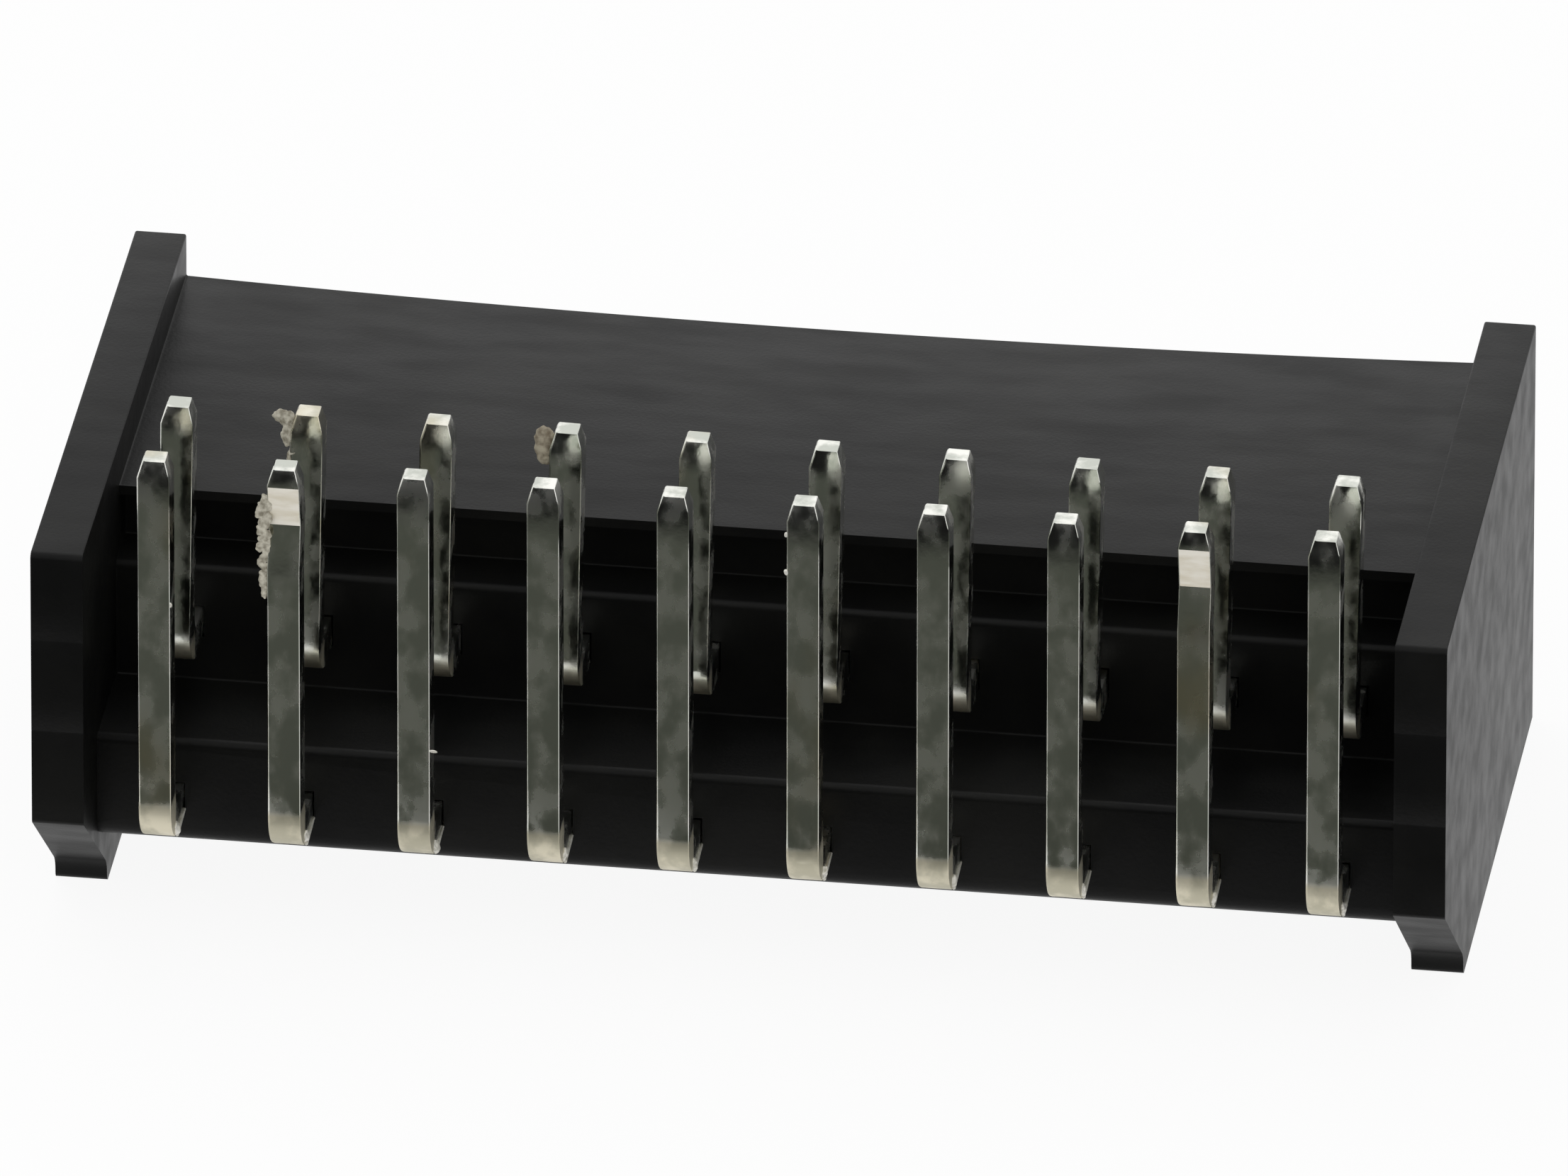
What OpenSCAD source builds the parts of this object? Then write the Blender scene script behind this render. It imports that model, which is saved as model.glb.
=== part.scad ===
// Right-angle box header, two rows, shrouded, with side cheeks.
// It lies with its board side up: X runs along the rows, the solder tails
// are at -Y and point up, and the shroud's mouth faces +Y.
// The origin is on the surface it lies on, under the middle of the moulding.

/* [Contacts] */
// Contacts in each row
positions = 10; // [2:1:25]
// Distance between neighbouring contacts of a row
pitch = 2.54; // [2:0.01:3]
// Distance between the two rows, at the tails and in the shroud
row_pitch = 2.54; // [2:0.01:3]
// Side of the square contact wire
pin_w = 0.64; // [0.4:0.01:0.8]
// Inside radius of each contact's bend
bend_r = 0.36; // [0.2:0.02:0.5]
// Side of the small flat at each end of a contact
tip_w = 0.46; // [0.3:0.01:0.6]
// Length of the four-sided taper at each end of a contact
tip_len = 0.35; // [0.2:0.01:0.8]
// How far the outer row's tails stand above the cheek tops
outer_tail_rise = 2.16; // [1.5:0.01:4]
// How far the inner row's tails stand above the cheek tops
inner_tail_rise = 2.02; // [1.5:0.01:4]
// How far back from the mouth the contacts end
tip_setback = 0.7; // [0.3:0.1:2]
// Gap on each side of a contact in its slot
slot_gap = 0.02; // [0.01:0.01:0.05]

/* [Cheeks] */
// Thickness of each cheek
cheek_t = 1.02; // [0.8:0.01:2]
// Gap between a cheek and the nearest contact
end_gap = 1.07; // [0.8:0.01:5]
// Whole depth, from the cheeks' rear edges to the mouth
body_depth = 13.5; // [12.5:0.1:18]
// Whole height of the cheeks
cheek_h = 8.75; // [8:0.05:11]
// Height of the upper edge of the slanted cut at the cheeks' lower rear corners
cut_h = 2.75; // [2.4:0.05:3.2]
// Depth of the slanted cut
cut_depth = 2.9; // [2:0.05:3.2]
// Height of the foot's short upright face, under the slanted cut
foot_face = 0.45; // [0.45:0.01:0.8]
// Radius of the hollow blend from the slanted cut into the foot
foot_r = 0.5; // [0.1:0.05:0.5]
// Radius of the cheeks' small rear corners
corner_r = 0.15; // [0.05:0.01:0.2]

/* [Shroud] */
// Drop from the cheek tops to the shroud's upper face
top_drop = 0.92; // [0.5:0.01:1.5]
// Thickness of the shroud's two long walls
wall_t = 0.82; // [0.6:0.01:1.2]
// Depth of the mating cavity
cavity_depth = 6.5; // [5:0.1:8]
// Distance from the cheeks' rear edges to the back of the block that holds the contacts
block_back = 4.25; // [4:0.05:5]
// How far the shroud's upper wall stops short of the block's back
top_step = 0.45; // [0.2:0.01:1]
// Drop from the shroud's upper face to the ledge on the block
ledge_drop = 1.43; // [1:0.01:1.6]
// How far the groove over the ledge reaches in under the upper wall
groove_depth = 0.7; // [0.3:0.01:1.2]
// Thickness of the upper wall's rear lip over the groove
lip_t = 0.2; // [0.1:0.01:0.4]
// Height of the underside of the block's lower half, behind the shroud's floor
block_rise = 1.6; // [0.8:0.05:1.8]
// Distance from the cheeks' rear edges to the rear of the shroud's floor
floor_back = 4.95; // [4.9:0.05:6]
// Radius along the block's lower rear edge
heel_r = 0.4; // [0.2:0.02:0.6]
// Width of the polarising slot in the wall away from the board
key_w = 4.5; // [4.2:0.1:6]
// Size of the lead-in bevel round the mouth
mouth_bevel = 0.3; // [0.1:0.02:0.5]

/* [Hidden] */
COLUMNS = [1 : positions];
$fn = 48;

// A little more than the solids that a cut passes through
over = 0.5;
// Segments in a quarter of a small rounded corner
corner_steps = 5;

rear_y = -body_depth / 2;
mouth_y = body_depth / 2;
inner_w = (positions - 1) * pitch + pin_w + 2 * end_gap;
outer_w = inner_w + 2 * cheek_t;

shroud_top = cheek_h - top_drop;
cavity_h = shroud_top - 2 * wall_t;
cavity_floor_y = mouth_y - cavity_depth;
block_y = rear_y + block_back;
// The block's lower half stands farther back, as the outer row's tails do
step_y = block_y - row_pitch;
floor_y = rear_y + floor_back;
ledge_z = shroud_top - ledge_drop;
// The rows lie evenly about the middle of the cavity
mid_z = shroud_top / 2;
outer_row_z = mid_z - row_pitch / 2;
inner_row_z = mid_z + row_pitch / 2;
// The outer tails' rear faces are flush with the cheeks' rear edges
outer_tail_y = rear_y + pin_w / 2;
inner_tail_y = outer_tail_y + row_pitch;
contact_end_y = mouth_y - tip_setback;

function column_x(i) = (i - (positions + 1) / 2) * pitch;

// Points of an arc, in degrees, from one angle to the other
function arc(cx, cy, r, from, to) = [
    for (k = [0 : corner_steps])
        let (a = from + (to - from) * k / corner_steps)
        [cx + r * cos(a), cy + r * sin(a)]
];

// Lays an outline drawn in (Y, Z) across the part, w wide and centred on x
module across(x, w) {
    translate([x - w / 2, 0, 0])
        rotate([90, 0, 90])
            linear_extrude(w)
                children();
}

// Side view of a cheek, as (Y, Z) points
module cheek_outline() {
    foot_y = rear_y + cut_depth;
    slope = atan2(cut_h - foot_face, cut_depth);
    // Distance from the foot's corner to where the hollow blend starts
    blend = foot_r * tan((90 - slope) / 2);
    polygon(concat(
        [[mouth_y, 0], [mouth_y, cheek_h]],
        arc(rear_y + corner_r, cheek_h - corner_r, corner_r, 90, 180),
        arc(rear_y + corner_r, cut_h + corner_r, corner_r, 180, 270 - slope),
        arc(foot_y - foot_r, foot_face - blend, foot_r, 90 - slope, 0),
        arc(foot_y + corner_r, corner_r, corner_r, 180, 270)
    ));
}

// Side view of the shroud and the block that holds the contacts
module shroud_outline() {
    lip_y = block_y + top_step;
    polygon(concat(
        [
            [mouth_y, 0],
            [mouth_y, shroud_top],
            [lip_y, shroud_top],
            [lip_y, shroud_top - lip_t],
            [lip_y + groove_depth, shroud_top - 2 * lip_t],
            [lip_y + groove_depth, ledge_z]
        ],
        arc(block_y + corner_r, ledge_z - corner_r, corner_r, 90, 180),
        [[block_y, mid_z]],
        arc(step_y + corner_r, mid_z - corner_r, corner_r, 90, 180),
        arc(step_y + heel_r, block_rise + heel_r, heel_r, 180, 270),
        [[floor_y, block_rise], [floor_y, 0]]
    ));
}

// Bevel that runs round the cavity's mouth, as four wedges to cut away
module mouth_wedges() {
    depth = mouth_bevel;
    for (side = [-1, 1]) {
        // Along the long walls
        across(0, inner_w)
            polygon([
                [mouth_y - depth, mid_z + side * cavity_h / 2],
                [mouth_y + over, mid_z + side * (cavity_h / 2 + depth + over)],
                [mouth_y + over, mid_z]
            ]);
        // Along the cheeks
        translate([0, 0, mid_z - cavity_h / 2])
            linear_extrude(cavity_h)
                polygon([
                    [side * inner_w / 2, mouth_y - depth],
                    [side * (inner_w / 2 + depth + over), mouth_y + over],
                    [0, mouth_y + over]
                ]);
    }
}

// Square passages for the contacts, right through the block
module contact_slots() {
    slot_w = pin_w + 2 * slot_gap;
    length = cavity_floor_y - step_y + 2 * over;
    for (i = COLUMNS, z = [outer_row_z, inner_row_z])
        translate([column_x(i) - slot_w / 2, step_y - over, z - slot_w / 2])
            cube([slot_w, length, slot_w]);
}

// One moulding: two cheeks, the shroud between them and the contact block
module housing() {
    color([0.09, 0.09, 0.09])
    difference() {
        union() {
            for (side = [-1, 1])
                across(side * (outer_w - cheek_t) / 2, cheek_t)
                    cheek_outline();
            across(0, inner_w)
                shroud_outline();
        }
        // Mating cavity
        translate([-inner_w / 2, cavity_floor_y, wall_t])
            cube([inner_w, cavity_depth + over, cavity_h]);
        // Polarising slot in the wall away from the board
        translate([-key_w / 2, cavity_floor_y, -over])
            cube([key_w, cavity_depth + over, wall_t + 2 * over]);
        mouth_wedges();
        contact_slots();
    }
}

// Side view of a bent contact: tail, bend and leg, with tapered ends
module contact_outline(tail_y, leg_z, tail_end_z) {
    half = pin_w / 2;
    flat = tip_w / 2;
    bend_out = bend_r + pin_w;
    // Centre of the bend, on the inside of the corner
    bend_y = tail_y + half + bend_r;
    bend_z = leg_z + half + bend_r;
    polygon([
        [tail_y - half, bend_z],
        [tail_y + half, bend_z],
        [tail_y + half, tail_end_z - tip_len],
        [tail_y + flat, tail_end_z],
        [tail_y - flat, tail_end_z],
        [tail_y - half, tail_end_z - tip_len]
    ]);
    polygon([
        [bend_y, leg_z - half],
        [contact_end_y - tip_len, leg_z - half],
        [contact_end_y, leg_z - flat],
        [contact_end_y, leg_z + flat],
        [contact_end_y - tip_len, leg_z + half],
        [bend_y, leg_z + half]
    ]);
    intersection() {
        translate([bend_y, bend_z])
            difference() {
                circle(bend_out);
                circle(bend_r);
            }
        translate([bend_y - bend_out, bend_z - bend_out])
            square(bend_out);
    }
}

// Front view of one end of a contact, long enough to hold the rest of it
module end_taper(reach) {
    polygon([
        [-pin_w / 2, -reach],
        [pin_w / 2, -reach],
        [pin_w / 2, -tip_len],
        [tip_w / 2, 0],
        [-tip_w / 2, 0],
        [-pin_w / 2, -tip_len]
    ]);
}

// One bent contact in its column, tapered on all four sides at both ends
module contact(i, tail_y, leg_z, tail_end_z) {
    // The tail's profile reaches down into the leg's, so that they join
    tail_reach = tail_end_z - leg_z;
    leg_reach = contact_end_y - rear_y + over;
    color([0.80, 0.80, 0.77])
    translate([column_x(i), 0, 0])
    intersection() {
        across(0, pin_w)
            contact_outline(tail_y, leg_z, tail_end_z);
        union() {
            translate([0, tail_y + pin_w, tail_end_z])
                rotate([90, 0, 0])
                    linear_extrude(2 * pin_w)
                        end_taper(tail_reach);
            translate([0, contact_end_y, leg_z - pin_w])
                linear_extrude(2 * pin_w)
                    end_taper(leg_reach);
        }
    }
}

// Row whose tails are farther from the block, with its legs nearer the floor
module outer_contact(i) {
    contact(i, outer_tail_y, outer_row_z, cheek_h + outer_tail_rise);
}

// Row whose tails are nearer the block, with its legs nearer the board
module inner_contact(i) {
    contact(i, inner_tail_y, inner_row_z, cheek_h + inner_tail_rise);
}

housing();
for (i = COLUMNS) {
    outer_contact(i);
    inner_contact(i);
}
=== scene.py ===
"""Looks of a right-angle box header: black moulding, two rows of bent tinned contacts.

The script follows the part as it is put together: the moulding, the outer
row, the inner row, then the table it lies on, the light and the camera.
"""
import math
import random

import bmesh
import bpy
from mathutils import Matrix, Vector, noise


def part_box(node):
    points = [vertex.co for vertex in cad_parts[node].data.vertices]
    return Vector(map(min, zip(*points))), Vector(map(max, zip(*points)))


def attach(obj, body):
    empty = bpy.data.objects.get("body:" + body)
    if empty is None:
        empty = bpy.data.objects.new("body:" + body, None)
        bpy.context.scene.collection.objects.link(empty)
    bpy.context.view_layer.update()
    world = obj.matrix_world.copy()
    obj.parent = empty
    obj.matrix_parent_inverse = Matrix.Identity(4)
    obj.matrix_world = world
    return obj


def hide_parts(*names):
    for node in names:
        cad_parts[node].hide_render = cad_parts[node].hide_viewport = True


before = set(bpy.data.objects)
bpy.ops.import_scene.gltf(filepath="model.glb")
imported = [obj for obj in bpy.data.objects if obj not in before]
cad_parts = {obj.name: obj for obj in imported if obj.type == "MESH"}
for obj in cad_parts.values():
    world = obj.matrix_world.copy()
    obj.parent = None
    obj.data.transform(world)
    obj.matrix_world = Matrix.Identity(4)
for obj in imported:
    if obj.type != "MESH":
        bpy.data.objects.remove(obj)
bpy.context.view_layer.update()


# --- Moulding ---------------------------------------------------------------
# One piece of black glass-filled nylon: two cheeks, the shroud between them
# and the block that holds the contacts. It is moulded, so every edge is a
# little round, the long upper wall has drawn in, and inserts leave lines.

MM = 0.001  # pieces are shaped in millimetres, then brought down to metres

edge_r = 0.045  # radius of the moulding's edges
sharp = math.radians(32)  # edges that turn by more than this are rounded
cheek_t = 1.02  # thickness of each cheek
top_drop = 0.92  # drop from the cheek tops to the upper wall
wall_t = 0.82  # thickness of the shroud's long walls
lip_y = -2.05  # rear edge of the upper wall
slot_w = 0.68  # side of each contact's slot
cheek_clear = 0.5  # the slots lie at least this far from the cheeks
wall_clear = 0.3  # and this far from the long walls

wall_draw = 0.24  # how far the upper wall sags at the middle of the mouth
wall_strips = 24  # strips that the sagging wall is divided into
strip_under = 0.5  # how far under the wall the strips' cuts are made
rim_reach = 0.4  # how far in from the mouth, and under the wall, its rim reaches
rim_over = 0.05  # how far over the wall its rim is looked for

insert_lines = (6.85, 4.85)  # heights of the lines on the cheeks' rear faces
line_w = 0.04
line_deep = 0.012
rear_reach = 0.1  # how near the rear a part of the cheeks' rear faces lies
facing_rear = -0.3  # a face with less than this along y faces the rear

same = 0.001  # points this near are one point
touch = 0.01  # parts this near a plane are on it


def only(piece):
    """Leaves this piece alone selected, and active."""
    bpy.ops.object.select_all(action="DESELECT")
    piece.select_set(True)
    bpy.context.view_layer.objects.active = piece


def edit(piece):
    only(piece)
    bpy.ops.object.mode_set(mode="EDIT")


def done():
    bpy.ops.object.mode_set(mode="OBJECT")


def pick(kind, test):
    """Selects, on the piece being edited, the parts of one kind that pass the test."""
    bpy.ops.mesh.select_mode(type=kind)
    bpy.ops.mesh.select_all(action="DESELECT")
    mesh = bpy.context.edit_object.data
    shape = bmesh.from_edit_mesh(mesh)
    parts = {"VERT": shape.verts, "EDGE": shape.edges, "FACE": shape.faces}[kind]
    for part in parts:
        if test(part):
            part.select_set(True)
    shape.select_flush_mode()
    bmesh.update_edit_mesh(mesh)


def cut_at(axis, where):
    """Cuts what is selected along a plane across x, y or z."""
    at = [0, 0, 0]
    at["xyz".index(axis)] = where
    normal = [0, 0, 0]
    normal["xyz".index(axis)] = 1
    bpy.ops.mesh.bisect(plane_co=at, plane_no=normal, threshold=0.0001)


def shift(x=0.0, y=0.0, z=0.0):
    bpy.ops.transform.translate(value=(x, y, z))


def bevel_picked(test, width, segments):
    """Rounds the sharp edges of the piece being edited that pass the test."""
    pick("EDGE", lambda e: e.calc_face_angle(0) > sharp and test(e))
    bpy.ops.mesh.bevel(offset=width, segments=segments, affect="EDGES")


def bring_to_size(piece, smooth=35):
    only(piece)
    piece.scale = (MM, MM, MM)
    bpy.ops.object.transform_apply(location=True, rotation=True, scale=True)
    bpy.ops.object.shade_smooth_by_angle(angle=math.radians(smooth))


moulding = bpy.data.objects.new(
    "housing_moulding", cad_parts["housing"].data.copy()
)
bpy.context.scene.collection.objects.link(moulding)
only(moulding)
moulding.scale = (1 / MM, 1 / MM, 1 / MM)
bpy.ops.object.transform_apply(location=False, rotation=False, scale=True)
low, high = (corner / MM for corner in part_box("housing"))
inner_x = high.x - cheek_t
shroud_z = high.z - top_drop
wall_z = shroud_z - wall_t


def in_slot(edge):
    """Whether an edge runs through the block along a contact's slot."""
    first, last = (vert.co for vert in edge.verts)
    straight_in = abs(first.x - last.x) < touch and abs(first.z - last.z) < touch
    between = abs(first.x) < inner_x - cheek_clear
    return straight_in and between and wall_t + wall_clear < first.z < wall_z - wall_clear


def span(edge):
    """An edge's longest reach along x, y or z."""
    first, last = (vert.co for vert in edge.verts)
    return max(abs(a - b) for a, b in zip(first, last))


edit(moulding)
bpy.ops.mesh.select_all(action="SELECT")
bpy.ops.mesh.remove_doubles(threshold=same)
bpy.ops.mesh.customdata_custom_splitnormals_clear()
bpy.ops.mesh.dissolve_limited(angle_limit=math.radians(1))
# The contacts' slots keep their sharp edges, tight round the wire
bevel_picked(lambda e: span(e) > slot_w + touch and not in_slot(e), edge_r, 3)
done()
# Nothing reaches below the surface that the moulding lies on
for vert in moulding.data.vertices:
    vert.co.z = max(vert.co.z, low.z)

edit(moulding)
# The upper wall draws in towards the cavity, most at the middle of the mouth
strip_ends = [inner_x * (2 * k / wall_strips - 1) for k in range(1, wall_strips)]
for x in strip_ends:
    pick("FACE", lambda f: f.calc_center_median().z > wall_z - strip_under
         and f.calc_center_median().y > lip_y - rear_reach
         and abs(f.calc_center_median().x) < inner_x + touch)
    cut_at("x", x)
for x in strip_ends:
    pick("VERT", lambda v: abs(v.co.x - x) < touch and v.co.y > high.y - rim_reach
         and wall_z - rim_reach < v.co.z < shroud_z + rim_over)
    shift(z=-wall_draw * (1 - (x / inner_x) ** 2))
# Fine lines where the mould's inserts met, across the cheeks' rear faces
for z in insert_lines:
    for side in (-1, 1):
        for cut in (z - line_w / 2, z, z + line_w / 2):
            pick("FACE", lambda f: f.normal.y < facing_rear
                 and f.calc_center_median().y < low.y + rear_reach
                 and side * f.calc_center_median().x > inner_x)
            cut_at("z", cut)
        pick("VERT", lambda v: abs(v.co.z - z) < same and v.co.y < low.y + rear_reach
             and side * v.co.x > inner_x - touch)
        shift(y=line_deep)
done()
bring_to_size(moulding)


def new_group(name, inputs, outputs):
    """A shader node group with named sockets, and its input and output nodes."""
    group = bpy.data.node_groups.new(name, "ShaderNodeTree")
    for label, kind, value in inputs:
        socket = group.interface.new_socket(label, in_out="INPUT", socket_type="NodeSocket" + kind)
        socket.default_value = value
    for label, kind in outputs:
        group.interface.new_socket(label, in_out="OUTPUT", socket_type="NodeSocket" + kind)
    return group, group.nodes.new("NodeGroupInput"), group.nodes.new("NodeGroupOutput")


def add(tree, kind, **settings):
    node = tree.nodes.new("ShaderNode" + kind)
    for key, value in settings.items():
        setattr(node, key, value)
    return node


def new_material(name):
    """A material with its shader, ready to be given its finish."""
    material = bpy.data.materials.new(name)
    material.use_nodes = True
    return material, material.node_tree, material.node_tree.nodes["Principled BSDF"]


# Patches of noise, in millimetres, stretched as asked, from 0 to 1
patches, given, gives = new_group(
    "patches",
    [("Stretch", "Vector", (1, 1, 1)), ("Scale", "Float", 1.0), ("Detail", "Float", 3.0),
     ("From", "Float", 0.4), ("To", "Float", 0.6), ("Seed", "Float", 0.0)],
    [("Mask", "Float")],
)
where = add(patches, "TexCoord")
in_mm = add(patches, "Mapping")
in_mm.inputs["Scale"].default_value = (1 / MM, 1 / MM, 1 / MM)
stretched = add(patches, "VectorMath", operation="MULTIPLY")
cloud = add(patches, "TexNoise", noise_dimensions="4D")
ramp = add(patches, "MapRange", interpolation_type="SMOOTHSTEP")
link = patches.links.new
link(where.outputs["Object"], in_mm.inputs["Vector"])
link(in_mm.outputs["Vector"], stretched.inputs[0])
link(given.outputs["Stretch"], stretched.inputs[1])
link(stretched.outputs["Vector"], cloud.inputs["Vector"])
link(given.outputs["Scale"], cloud.inputs["Scale"])
link(given.outputs["Detail"], cloud.inputs["Detail"])
link(given.outputs["Seed"], cloud.inputs["W"])
link(cloud.outputs["Fac"], ramp.inputs["Value"])
link(given.outputs["From"], ramp.inputs["From Min"])
link(given.outputs["To"], ramp.inputs["From Max"])
link(ramp.outputs["Result"], gives.inputs["Mask"])


def patch(tree, **values):
    node = add(tree, "Group", node_tree=patches)
    for key, value in values.items():
        node.inputs[key].default_value = value
    return node.outputs["Mask"]


def blend_values(tree, mask, first, second):
    """Goes from one value to another by a mask; each is a number or a socket."""
    node = add(tree, "MapRange")
    for socket, value in ((node.inputs["To Min"], first), (node.inputs["To Max"], second)):
        if isinstance(value, float):
            socket.default_value = value
        else:
            tree.links.new(value, socket)
    tree.links.new(mask, node.inputs["Value"])
    return node.outputs["Result"]


def blend_colours(tree, mask, first, second):
    """Goes from one colour to another by a mask; each is a colour or a socket."""
    node = add(tree, "Mix", data_type="RGBA")
    for socket, colour in ((node.inputs[6], first), (node.inputs[7], second)):
        if isinstance(colour, tuple):
            socket.default_value = (*colour, 1)
        else:
            tree.links.new(colour, socket)
    tree.links.new(mask, node.inputs[0])
    return node.outputs[2]


def add_bump(tree, shader, height, strength, distance):
    """Bumps a surface by a mask, over a distance in millimetres."""
    bump = add(tree, "Bump")
    bump.inputs["Strength"].default_value = strength
    bump.inputs["Distance"].default_value = distance * MM
    tree.links.new(height, bump.inputs["Height"])
    tree.links.new(bump.outputs["Normal"], shader.inputs["Normal"])


nylon, tree, shader = new_material("black_nylon")
link = tree.links.new
shader.inputs["Specular IOR Level"].default_value = 0.12
haze = patch(tree, Scale=0.35, Detail=4.0, From=0.35, To=0.7, Seed=2.0)
black = blend_colours(tree, haze, (0.0042, 0.0043, 0.0043), (0.0082, 0.0082, 0.0076))
link(black, shader.inputs["Base Color"])
rub = patch(tree, Stretch=(0.3, 1.0, 1.0), Scale=1.4, Detail=6.0, From=0.3, To=0.75, Seed=5.0)
link(blend_values(tree, rub, 0.38, 0.49), shader.inputs["Roughness"])
grain = patch(tree, Scale=14.0, Detail=2.0, From=0.2, To=0.8, Seed=9.0)
add_bump(tree, shader, grain, 0.35, 0.006)
moulding.data.materials.clear()
moulding.data.materials.append(nylon)
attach(moulding, "root")
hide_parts("housing")


# --- Contacts ---------------------------------------------------------------
# Square brass wire, tin plated: pushed through the block, turned up once and
# cut off, with a four-sided point at each end. The outer row's tails stand
# farther from the block, and its legs run nearer the floor.

pin_w = 0.64  # side of the square wire
bend_r = 0.36  # inside radius of the bend
bend_steps = 10
tail_steps = 8
tip_w = 0.44  # side of the small flat at each end
tip_len = 0.35
rolled_r = 0.055  # radius of the long edges on the wire's rolled side
sheared_r = 0.012  # radius of the edges on its sheared side, and at its tips
kinked = (2, 9)  # the contacts of the outer row that hold the part in its board
kink = 0.2  # how far back their tails are set
kink_step = tail_steps - 1  # the crease is one step under the tip
crease_reach = 0.1  # points this near the crease's height are set back
scraped_len = 0.95  # length of the scraped band under a kinked contact's tip
burr_len = 1.1  # length of the sliver along an outer leg
burr_r = 0.04
burr_end_r = 0.016
nub = (0.05, 0.03, 0.06)  # size of the smallest lumps on the wire's edges
rows = {"outer": 0.0, "inner": 0.083}  # how far each row's tails lean at their tips

# Where the matt tin of the bends fades in, along y and z
outer_bend_y = (-6.0, -6.15)
outer_bend_z = (3.48, 3.28)
inner_bend_rear_y = (-5.1, -4.9)
inner_bend_front_y = (-3.45, -3.65)
inner_bend_z = (5.75, 5.35)


def bent_wire(name, node):
    """The contact of one CAD node, drawn as one length of square wire at x 0."""
    low, high = (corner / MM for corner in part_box(node))
    tail_y = low.y + pin_w / 2
    leg_z = low.z + pin_w / 2
    bend_y = tail_y + pin_w / 2 + bend_r
    bend_z = leg_z + pin_w / 2 + bend_r
    bpy.ops.object.select_all(action="DESELECT")
    bpy.ops.mesh.primitive_plane_add(
        size=tip_w, location=(0, high.y, leg_z), rotation=(math.radians(90), 0, 0)
    )
    wire = bpy.context.object
    wire.name = name
    bpy.ops.object.transform_apply(location=True, rotation=True)
    edit(wire)
    bpy.ops.mesh.select_all(action="SELECT")

    def draw(y=0.0, z=0.0, grow=1.0):
        bpy.ops.mesh.extrude_region_move(TRANSFORM_OT_translate={"value": (0, y, z)})
        if grow != 1.0:
            bpy.ops.transform.resize(value=(grow, grow if z else 1, grow if y else 1))

    draw(y=-tip_len, grow=pin_w / tip_w)
    draw(y=bend_y - (high.y - tip_len))
    bpy.ops.mesh.spin(
        steps=bend_steps, angle=math.radians(90), center=(0, bend_y, bend_z), axis=(1, 0, 0)
    )
    straight = high.z - tip_len - bend_z
    for k in range(tail_steps):
        draw(z=straight / tail_steps)
    draw(z=tip_len, grow=tip_w / pin_w)
    bpy.ops.mesh.select_all(action="SELECT")
    bpy.ops.mesh.remove_doubles(threshold=same)
    bpy.ops.mesh.normals_make_consistent(inside=False)
    done()
    return wire


def piece_box(piece):
    """The lowest and highest corners of a piece that is still in millimetres."""
    corners = [vert.co for vert in piece.data.vertices]
    low = Vector([min(corner[axis] for corner in corners) for axis in range(3)])
    high = Vector([max(corner[axis] for corner in corners) for axis in range(3)])
    return low, high


def kink_tail(wire):
    """Sets the tail back a little just under its tip, so that it grips in its hole."""
    low, high = piece_box(wire)
    bend_z = low.z + pin_w + bend_r
    crease = bend_z + (high.z - tip_len - bend_z) * kink_step / tail_steps
    edit(wire)
    pick("VERT", lambda v: abs(v.co.z - crease) < crease_reach)
    shift(y=kink)
    done()


def round_wire(wire):
    """Rolled edges on one side, sheared edges on the other."""
    edit(wire)
    bevel_picked(lambda e: max(v.co.x for v in e.verts) < 0, rolled_r, 3)
    bevel_picked(lambda e: max(v.co.x for v in e.verts) > 0, sheared_r, 1)
    done()


def band(tree, coordinate, start, stop):
    """Goes from 0 to 1 as a coordinate, in millimetres, passes from start to stop."""
    node = add(tree, "MapRange", interpolation_type="SMOOTHSTEP")
    node.inputs["From Min"].default_value = start * MM
    node.inputs["From Max"].default_value = stop * MM
    tree.links.new(coordinate, node.inputs["Value"])
    return node.outputs["Result"]


def combine(tree, operation, first, second):
    node = add(tree, "Math", operation=operation)
    tree.links.new(first, node.inputs[0])
    tree.links.new(second, node.inputs[1])
    return node.outputs[0]


tin, tree, shader = new_material("dull_tin")
link = tree.links.new
shader.inputs["Metallic"].default_value = 1.0
mottle = patch(tree, Stretch=(1, 1, 0.7), Scale=1.9, Detail=8.0, From=0.40, To=0.60, Seed=1.0)
fleck = patch(tree, Stretch=(1, 1, 1.5), Scale=3.2, Detail=5.0, From=0.60, To=0.80, Seed=3.0)
stain = patch(tree, Stretch=(1, 1, 0.5), Scale=0.5, Detail=3.0, From=0.55, To=0.75, Seed=7.0)
pitting = patch(tree, Scale=2.6, Detail=6.0, From=0.2, To=0.8, Seed=4.0)
clean = blend_colours(tree, mottle, (0.60, 0.62, 0.56), (0.92, 0.92, 0.86))
stained = blend_colours(tree, stain, clean, (0.66, 0.60, 0.44))

# Bending has stretched the outside of each bend, and the tin there is matt and warm
place = add(tree, "TexCoord")
parts = add(tree, "SeparateXYZ")
link(place.outputs["Object"], parts.inputs[0])
along_y, along_z = parts.outputs["Y"], parts.outputs["Z"]
outer_bend = combine(tree, "MULTIPLY", band(tree, along_z, *outer_bend_z),
                     band(tree, along_y, *outer_bend_y))
inner_bend = combine(tree, "MULTIPLY", band(tree, along_z, *inner_bend_z),
                     combine(tree, "MULTIPLY", band(tree, along_y, *inner_bend_rear_y),
                             band(tree, along_y, *inner_bend_front_y)))
strained = combine(tree, "MAXIMUM", outer_bend, inner_bend)
matt = blend_colours(tree, mottle, (0.58, 0.55, 0.43), (0.80, 0.75, 0.60))
link(blend_colours(tree, strained, stained, matt), shader.inputs["Base Color"])
smooth = blend_values(tree, mottle, 0.11, 0.30)
roughened = blend_values(tree, strained, smooth, 0.52)
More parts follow.
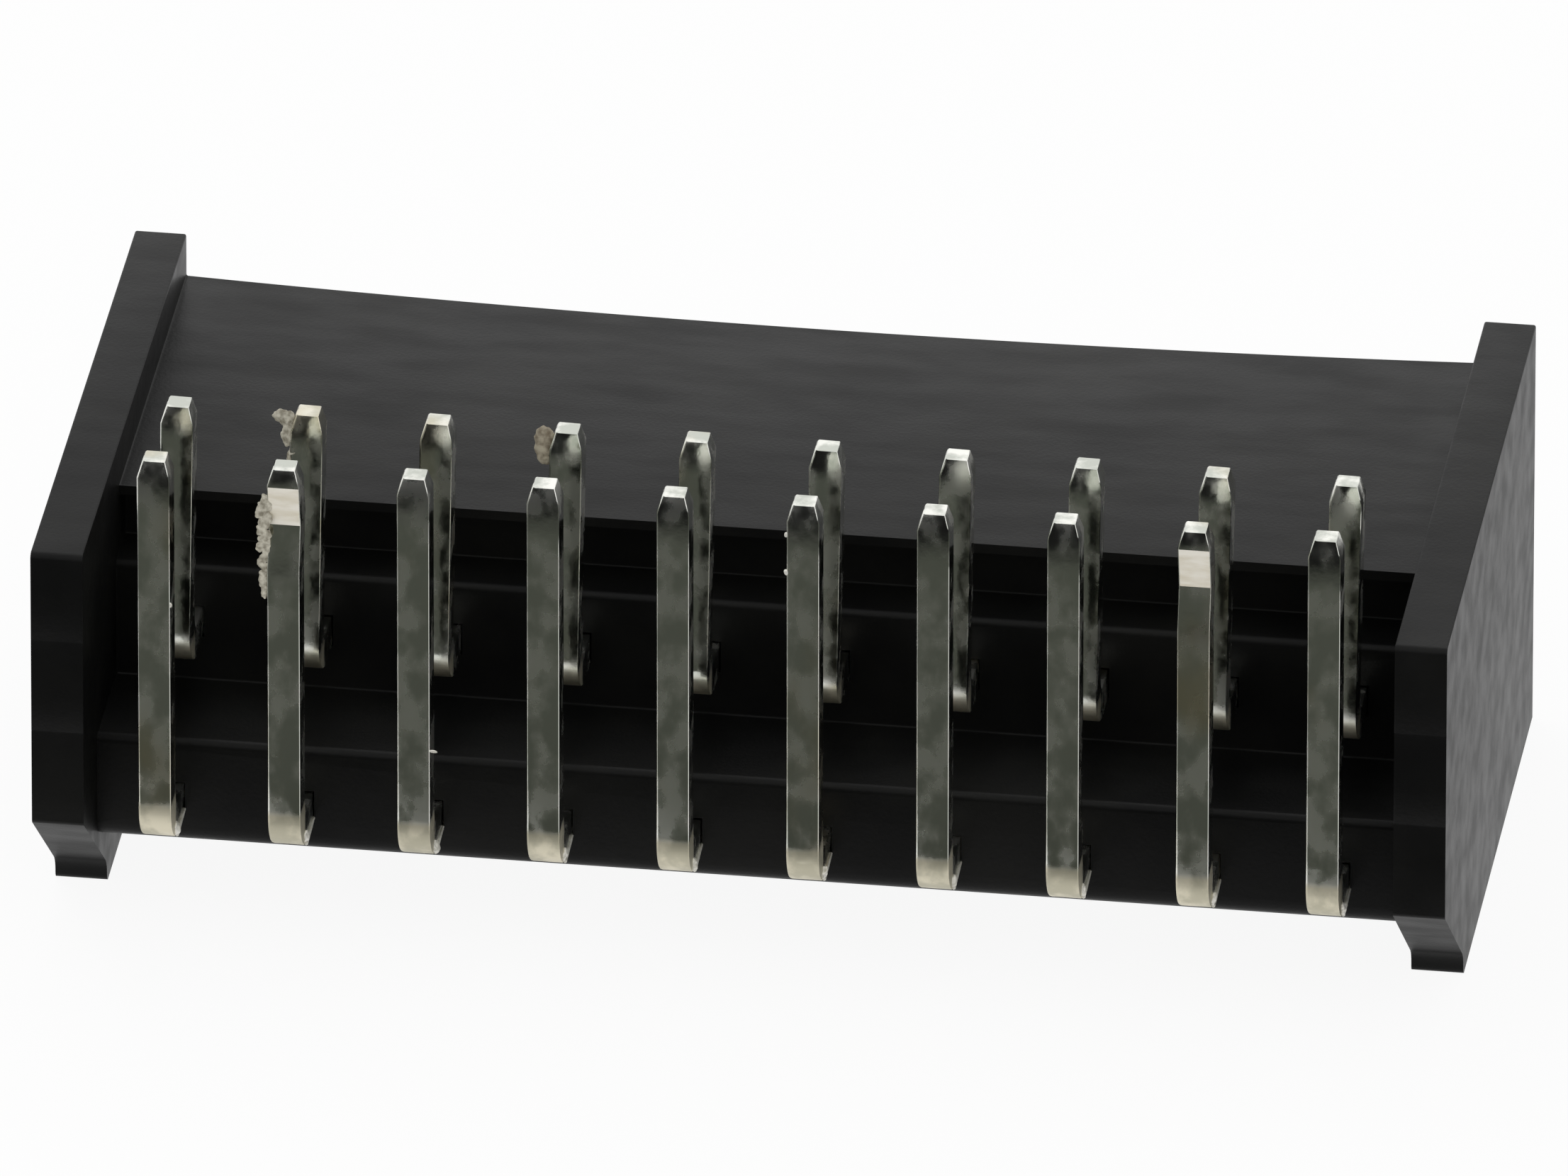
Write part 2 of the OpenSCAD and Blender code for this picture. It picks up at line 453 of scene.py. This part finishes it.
link(blend_values(tree, fleck, roughened, 0.34), shader.inputs["Roughness"])
add_bump(tree, shader, pitting, 0.3, 0.010)


def speckled(name, finish, colours, bump=None, **pattern):
    """A material that goes from one colour to another in small patches."""
    material, tree, shader = new_material(name)
    for socket, value in finish.items():
        shader.inputs[socket].default_value = value
    specks = patch(tree, **pattern)
    tree.links.new(blend_colours(tree, specks, *colours), shader.inputs["Base Color"])
    if bump:
        add_bump(tree, shader, specks, *bump)
    return material


scraped = speckled(
    "scraped_tin", {"Metallic": 0.1, "Roughness": 0.5},
    ((0.80, 0.74, 0.60), (0.96, 0.92, 0.82)),
    Stretch=(1, 1, 4), Scale=1.2, Detail=5.0, From=0.35, To=0.65, Seed=10.0,
)
torn = speckled(
    "torn_tin", {"Metallic": 0.4, "Roughness": 0.5},
    ((0.72, 0.70, 0.62), (0.92, 0.90, 0.84)),
    Scale=8.0, Detail=4.0, From=0.3, To=0.7, Seed=11.0,
)
crust = speckled(
    "dry_crust", {"Roughness": 0.8, "Specular IOR Level": 0.2},
    ((0.16, 0.13, 0.09), (0.42, 0.38, 0.29)), bump=(0.8, 0.02),
    Scale=7.0, Detail=5.0, From=0.3, To=0.7, Seed=12.0,
)
flaked = speckled(
    "flaked_tin", {"Roughness": 0.7, "Specular IOR Level": 0.3},
    ((0.22, 0.20, 0.15), (0.62, 0.59, 0.49)),
    Scale=9.0, Detail=5.0, From=0.3, To=0.7, Seed=13.0,
)

chance = random.Random(3)


def crumb(x, y, z, size, material, uneven=0.4):
    """One small lump with uneven sides, its size given along x, y and z."""
    bpy.ops.object.select_all(action="DESELECT")
    bpy.ops.mesh.primitive_ico_sphere_add(subdivisions=4, radius=1, location=(x, y, z))
    lump = bpy.context.object
    lump.scale = size
    lump.rotation_euler = (0, chance.uniform(-0.4, 0.4), 0)
    bpy.ops.object.transform_apply(location=True, rotation=True, scale=True)
    middle = Vector((x, y, z))
    for vert in lump.data.vertices:
        swell = noise.noise(vert.co * 6) + 0.6 * noise.noise(vert.co * 15)
        vert.co = middle + (vert.co - middle) * (1 + uneven * swell)
    lump.data.materials.append(material)
    return lump


def burr(x, low):
    """The sliver left along the sheared lower edge of a leg, from its bend to the block."""
    right = x + pin_w / 2
    bpy.ops.object.select_all(action="DESELECT")
    bpy.ops.mesh.primitive_cone_add(
        vertices=6, radius1=burr_r, radius2=burr_end_r, depth=burr_len,
        location=(right + 0.02, low.y + 1.2, low.z + 0.085),
        rotation=(math.radians(-90), 0, 0),
    )
    sliver = bpy.context.object
    bpy.ops.object.transform_apply(location=True, rotation=True, scale=True)
    sliver.data.materials.append(torn)
    return [sliver, crumb(right, low.y + 0.66, low.z + 0.23, (0.08, 0.14, 0.13), torn)]


def left_on(row, i, x, low, high):
    """What is stuck to one contact, or stands off its edges.

    Each lump is told by its place, its size along x, y and z, and its material.
    """
    left, right, rear = x - pin_w / 2, x + pin_w / 2, low.y
    found = {
        ("outer", 1): [(right, rear + 0.03, high.z - 3.1, nub, torn)],
        ("outer", 2): [
            (left - 0.02 - 0.04 * (k % 3), rear + 0.10, high.z - 0.70 - 0.125 * k,
             (0.13 - 0.004 * k, 0.03, 0.15), flaked) for k in range(17)
        ],
        ("outer", 3): [(right + 0.04, rear + 0.04, low.z + 2.65, (0.09, 0.02, 0.03), torn)],
        ("outer", 6): [(left, rear + 0.03, high.z - 0.63, nub, torn),
                       (left, rear + 0.03, high.z - 1.45, nub, torn)],
        ("inner", 2): [(left - 0.12, rear + 0.15, high.z - 0.10, (0.20, 0.07, 0.15), flaked),
                       (left - 0.02, rear + 0.10, high.z - 0.45, (0.15, 0.08, 0.26), flaked),
                       (left + 0.08, rear + 0.08, high.z - 0.85, (0.12, 0.08, 0.24), flaked)],
        ("inner", 4): [(left - 0.10, rear + 0.25, high.z - 0.38, (0.23, 0.14, 0.40), crust, 0.16)],
    }
    return [crumb(*one) for one in found.get((row, i), [])]


for row, lean in rows.items():
    count = sum(name.startswith(row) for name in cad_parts)
    for i in range(1, count + 1):
        low, high = (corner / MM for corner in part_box(f"{row}_contact_{i}"))
        x = (low.x + high.x) / 2
        contact = bent_wire(f"{row}_contact_{i}_tinned", f"{row}_contact_{i}")
        holds = row == "outer" and i in kinked
        if holds:
            kink_tail(contact)
        round_wire(contact)
        contact.data.materials.append(tin)
        if holds:
            contact.data.materials.append(scraped)
            band_top = high.z - tip_len
            for face in contact.data.polygons:
                on_rear = face.normal.y < -0.9
                if on_rear and band_top - scraped_len < face.center.z < band_top:
                    face.material_index = 1
        only(contact)
        contact.location = (x, 0, 0)
        bpy.ops.object.transform_apply(location=True, rotation=False, scale=False)
        extras = left_on(row, i, x, low, high)
        if row == "outer":
            extras += burr(x, low)
        bpy.ops.object.select_all(action="DESELECT")
        for extra in extras:
            extra.select_set(True)
        contact.select_set(True)
        bpy.context.view_layer.objects.active = contact
        if extras:
            bpy.ops.object.join()
        if lean:
            edit(contact)
            foot = low.z + pin_w + bend_r
            pick("VERT", lambda v: v.co.z > foot)
            angle = math.atan(lean / (high.z - foot))
            bpy.ops.transform.rotate(
                value=-angle, orient_axis="Y",
                center_override=(x, low.y + pin_w / 2, foot),
            )
            done()
        bring_to_size(contact)
        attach(contact, "root")
        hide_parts(f"{row}_contact_{i}")


# --- Table, light and camera --------------------------------------------------
# A white table under soft light from all round and a large lamp above and
# behind. A dark card leans in front, seen only in the metal and the gloss.

table_w = 4
table_gap = 0.00001  # the part lies this far over the table
table_glow = 0.92  # how much of the table's white is its own
card_w, card_len = 1.0, 0.6
card_lean = math.radians(20)
card_foot_y, card_foot_z = -0.0100, 0.0001
card_fade = (0.473, 0.482)  # where the card grows paler, towards its foot
fill_strength = 0.75
lamp_w, lamp_len = 0.9, 0.6
lamp_place = (-0.25, 0.45, 0.95)
lamp_watts = 2.2


def seen(tree):
    """1 on rays from the eye, off gloss or through clear parts, and 0 on all others."""
    path = add(tree, "LightPath")
    mask = path.outputs["Is Camera Ray"]
    for kind in ("Is Glossy Ray", "Is Transmission Ray"):
        mask = combine(tree, "MAXIMUM", mask, path.outputs[kind])
    return mask


bpy.ops.object.select_all(action="DESELECT")
bpy.ops.mesh.primitive_plane_add(size=table_w, location=(0, 0, -table_gap))
table = bpy.context.object
table.name = "table"
paper, tree, shader = new_material("white_paper")
shader.inputs["Base Color"].default_value = (0.95, 0.95, 0.95, 1)
shader.inputs["Roughness"].default_value = 1.0
shader.inputs["Specular IOR Level"].default_value = 0.0
glow = add(tree, "Emission")
share = add(tree, "Math", operation="MULTIPLY")
share.inputs[1].default_value = table_glow
mix = add(tree, "MixShader")
out = tree.nodes["Material Output"]
link = tree.links.new
link(seen(tree), share.inputs[0])
link(share.outputs[0], mix.inputs[0])
link(shader.outputs[0], mix.inputs[1])
link(glow.outputs[0], mix.inputs[2])
# From below the table is clear, so that the underside can be looked at
under = add(tree, "NewGeometry")
clear = add(tree, "BsdfTransparent")
either = add(tree, "MixShader")
link(under.outputs["Backfacing"], either.inputs[0])
link(mix.outputs[0], either.inputs[1])
link(clear.outputs[0], either.inputs[2])
link(either.outputs[0], out.inputs["Surface"])
table.data.materials.append(paper)

bpy.ops.mesh.primitive_plane_add(size=1, location=(0, 0, 0))
card = bpy.context.object
card.name = "dark_card"
card.scale = (card_w, card_len, 1)
card.rotation_euler = (-card_lean, 0, 0)
card.location = (
    0,
    card_foot_y - card_len / 2 * math.cos(card_lean),
    card_foot_z + card_len / 2 * math.sin(card_lean),
)
felt, tree, shader = new_material("dark_card")
place = add(tree, "TexCoord")
along = add(tree, "SeparateXYZ")
fade = add(tree, "MapRange")
fade.inputs["From Min"].default_value, fade.inputs["From Max"].default_value = card_fade
tree.links.new(place.outputs["Object"], along.inputs[0])
tree.links.new(along.outputs["Y"], fade.inputs["Value"])
tree.links.new(
    blend_colours(tree, fade.outputs["Result"], (0.015, 0.015, 0.015), (0.11, 0.115, 0.10)),
    shader.inputs["Base Color"],
)
shader.inputs["Roughness"].default_value = 1.0
shader.inputs["Specular IOR Level"].default_value = 0.0
card.data.materials.append(felt)
card.visible_camera = card.visible_diffuse = card.visible_shadow = False
card.visible_transmission = card.visible_volume_scatter = False

world = bpy.data.worlds.new("studio")
bpy.context.scene.world = world
world.use_nodes = True
tree = world.node_tree
tree.nodes.clear()
link = tree.links.new
fill = add(tree, "Background")
fill.inputs["Color"].default_value = (1, 1, 1, 1)
fill.inputs["Strength"].default_value = fill_strength
white = add(tree, "Background")
white.inputs["Color"].default_value = (1, 1, 1, 1)
choice = add(tree, "MixShader")
out = add(tree, "OutputWorld")
link(seen(tree), choice.inputs[0])
link(fill.outputs[0], choice.inputs[1])
link(white.outputs[0], choice.inputs[2])
link(choice.outputs[0], out.inputs["Surface"])

lamp_data = bpy.data.lights.new("softbox", "AREA")
lamp_data.shape = "RECTANGLE"
lamp_data.size, lamp_data.size_y = lamp_w, lamp_len
lamp_data.energy = lamp_watts
lamp = bpy.data.objects.new("softbox", lamp_data)
bpy.context.scene.collection.objects.link(lamp)
lamp.location = lamp_place
lamp.rotation_euler = Vector(lamp_place).to_track_quat("Z", "Y").to_euler()

# The camera looks from behind and above. Its pivot is midway between the
# cheeks' upper rear corners.
azimuth, elevation, roll = (math.radians(a) for a in (8.008, 28.396, 0.074))
distance = 1.0108
aside, above = -0.00090, -0.00027  # where the pivot shows, from the picture's middle
lens = 1200
pivot = Vector((0, -0.00675, 0.00875))
back = Vector((
    math.sin(azimuth) * math.cos(elevation),
    -math.cos(azimuth) * math.cos(elevation),
    math.sin(elevation),
))
level = Vector((math.cos(azimuth), math.sin(azimuth), 0))
upright = back.cross(level)
right = level * math.cos(roll) + upright * math.sin(roll)
up = upright * math.cos(roll) - level * math.sin(roll)
camera_data = bpy.data.cameras.new("camera")
camera_data.sensor_width = 36
camera_data.lens = lens
camera_data.clip_end = 10
camera = bpy.data.objects.new("camera", camera_data)
bpy.context.scene.collection.objects.link(camera)
camera.location = pivot - right * aside - up * above + back * distance
camera.rotation_euler = Matrix((right, up, back)).transposed().to_euler()
bpy.context.scene.camera = camera
bpy.context.scene.view_settings.view_transform = "Standard"
